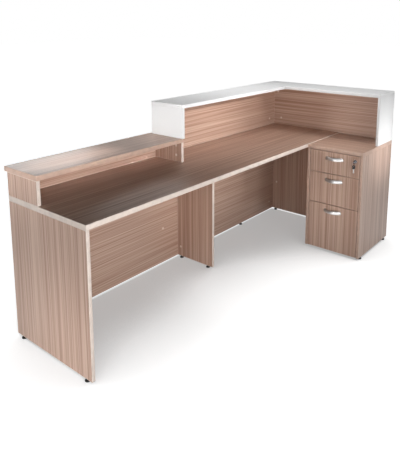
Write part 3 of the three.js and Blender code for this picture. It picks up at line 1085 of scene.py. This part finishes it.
def key_ring(fittings, low, high):
    """A split ring: a flattened wire whose two turns meet at a groove round the outside."""
    wire = (high.x - low.x) / 2
    outer = (high.y - low.y) / 2
    inner = outer - 2 * wire
    flat = 0.6 * wire
    corner = fittings.ring_corner
    groove = fittings.ring_groove
    outline = (
        (inner, corner - wire), (inner + corner, -wire), (outer - corner, -wire), (outer, -flat),
        (outer, -groove), (outer - corner, 0), (outer, groove), (outer, flat), (outer - corner, wire),
        (inner + corner, wire), (inner, wire - corner), (inner, corner - wire),
    )
    ring = add_turned(outline, (low + high) / 2, axis=(1, 0, 0), out=(0, 0, 1), steps=56)
    ring.data.materials.append(chrome_plate())
    return ring


class DESK_OT_keys(bpy.types.Operator):
    """Key in the lock, its ring and the spare key"""

    bl_idname = "reception_desk.keys"
    bl_label = "Keys"

    def execute(self, context):
        fittings = context.scene.reception_desk.fittings
        low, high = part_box("key")
        middle = (low + high) / 2
        hole = Vector((low.x + fittings.key_hole_inset, middle.y, middle.z))
        key = join_pieces([key_head(fittings, low, high, hole), key_blade(fittings, low, high)])

        spare_low, spare_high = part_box("spare_key")
        spare_hole = (spare_low + spare_high) / 2
        spare_hole.z = spare_high.z - fittings.key_hole_inset
        turn = Matrix.Rotation(fittings.spare_twist, 4, "Z") @ Matrix.Rotation(QUARTER, 4, "Y")
        spare = copy_piece(key, spare_hole - turn @ hole, turn)
        place_piece(key, "key_in_lock", "key_plastic", BODY_OF["key"], "key")
        place_piece(spare, "key_spare", "key_plastic", BODY_OF["spare_key"], "spare_key")
        ring = key_ring(fittings, *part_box("key_ring"))
        place_piece(ring, "key_ring_split", "chrome", BODY_OF["key_ring"], "key_ring")
        return {"FINISHED"}


class DESK_OT_glides(bpy.types.Operator):
    """Turned plastic glides under the panels"""

    bl_idname = "reception_desk.glides"
    bl_label = "Glides"

    def execute(self, context):
        fittings = context.scene.reception_desk.fittings
        names = sorted(name for name in frame["nodes"] if name.startswith("glide_"))
        low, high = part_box(names[0])
        centre = (low + high) / 2
        base = Vector((centre.x, centre.y, low.z))
        tall = high.z - low.z
        pad = fittings.glide_radius
        stem = 0.25 * (high.x - low.x)
        collar = 0.45 * (high.x - low.x)
        foot = 0.1 * tall
        pad_top = 0.4 * tall
        stem_low = 0.56 * tall
        stem_top = 0.72 * tall
        outline = (
            (0, 0), (0.9 * pad, 0), (pad, foot), (pad, pad_top), (stem, stem_low), (stem, stem_top),
            (collar, stem_top), (collar, tall), (0, tall),
        )
        first = add_turned(outline, base, axis=(0, 0, 1), out=(1, 0, 0), steps=32)
        soften(first, fittings.glide_rounding, segments=3)
        first.data.materials.append(black_plastic())
        glides = [first] + [copy_piece(first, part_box(name)[0] - low) for name in names[1:]]
        for name, piece in zip(names, glides):
            place_piece(piece, name + "_turned", "glide_plastic", BODY_OF[name], name)
        return {"FINISHED"}


class DESK_OT_cover_caps(bpy.types.Operator):
    """Plastic caps over the fittings that hold the boards together"""

    bl_idname = "reception_desk.cover_caps"
    bl_label = "Cover Caps"

    def execute(self, context):
        boards = context.scene.reception_desk.boards
        radius, tall = boards.cap_radius, boards.cap_height
        rim = 0.5 * tall
        shoulder = 0.9 * tall
        dimple = 0.8 * tall
        outline = (
            (0, 0), (radius, 0), (radius, rim), (0.9 * radius, shoulder), (0.6 * radius, tall),
            (0.3 * radius, tall), (0.22 * radius, dimple), (0, dimple),
        )
        first = add_turned(outline, (0, 0, 0), axis=(0, 0, 1), out=(1, 0, 0), steps=28)
        first.data.materials.append(cap_plastic())
        turns = {"-Y": Matrix.Rotation(QUARTER, 4, "X"), "-X": Matrix.Rotation(-QUARTER, 4, "Y")}
        copies = []
        for node, side, spot in COVER_CAPS:
            axis = "XYZ".index(side[1])
            place = Vector(spot)
            place[axis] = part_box(node)[0][axis]
            copies.append(copy_piece(first, place, turns[side]))
        bpy.data.objects.remove(first, do_unlink=True)
        place_piece(join_pieces(copies), "cover_caps", "walnut_board", "desk")
        return {"FINISHED"}


class DESK_OT_stage(bpy.types.Operator):
    """Floor, light and camera"""

    bl_idname = "reception_desk.stage"
    bl_label = "Stage"

    def execute(self, context):
        scene = context.scene
        stage = scene.reception_desk.stage
        scene.view_settings.view_transform = "Standard"

        start_piece()
        bpy.ops.mesh.primitive_plane_add(size=FLOOR_SIDE)
        floor = bpy.context.object
        floor.name = "studio_floor"
        floor.data.materials.append(studio_paper())
        scene.world = studio_air()

        for lamp in LAMPS:
            data = bpy.data.lights.new(lamp.name, "AREA")
            data.shape = "RECTANGLE"
            data.size = lamp.wide
            data.size_y = lamp.tall
            data.energy = getattr(stage, lamp.power)
            data.spread = math.radians(lamp.spread)
            light = bpy.data.objects.new(lamp.name, data)
            light.visible_camera = False
            scene.collection.objects.link(light)
            light.location = lamp.place
            aim = Vector(lamp.target) - Vector(lamp.place)
            light.rotation_euler = aim.to_track_quat("-Z", "Y").to_euler()

        data = bpy.data.cameras.new("camera")
        camera = bpy.data.objects.new("camera", data)
        scene.collection.objects.link(camera)
        camera.location = stage.camera_place
        camera.rotation_euler = (QUARTER + stage.camera_pitch, 0, stage.camera_yaw)
        data.sensor_width = 36
        data.lens = stage.lens
        data.shift_x = stage.shift_x
        data.shift_y = stage.shift_y
        data.clip_end = 200
        scene.camera = camera
        return {"FINISHED"}


OPERATORS = (
    DESK_OT_main_run,
    DESK_OT_riser,
    DESK_OT_hutch,
    DESK_OT_pedestal,
    DESK_OT_drawer_fronts,
    DESK_OT_handles,
    DESK_OT_steelwork,
    DESK_OT_lock,
    DESK_OT_keys,
    DESK_OT_glides,
    DESK_OT_cover_caps,
    DESK_OT_stage,
)


class DESK_PT_panel(bpy.types.Panel):
    """Lists the desk's pieces and settings"""

    bl_idname = "DESK_PT_panel"
    bl_label = "Reception Desk"
    bl_space_type = "VIEW_3D"
    bl_region_type = "UI"
    bl_category = "Reception Desk"

    def draw(self, context):
        for operator in OPERATORS:
            self.layout.operator(operator.bl_idname)
        settings = context.scene.reception_desk
        for group in (settings.boards, settings.fittings, settings.finishes, settings.stage):
            box = self.layout.box()
            for name in group.bl_rna.properties.keys():
                if name not in ("rna_type", "name"):
                    box.prop(group, name)


GROUPS = (DeskBoards, DeskFittings, DeskFinishes, DeskStage, ReceptionDesk)


def register():
    for kind in GROUPS + OPERATORS + (DESK_PT_panel,):
        bpy.utils.register_class(kind)
    bpy.types.Scene.reception_desk = PointerProperty(type=ReceptionDesk)


def unregister():
    del bpy.types.Scene.reception_desk
    for kind in reversed(GROUPS + OPERATORS + (DESK_PT_panel,)):
        bpy.utils.unregister_class(kind)


def main():
    register()
    for operator in OPERATORS:
        group, name = operator.bl_idname.split(".")
        getattr(getattr(bpy.ops, group), name)()


if __name__ == "__main__":
    main()
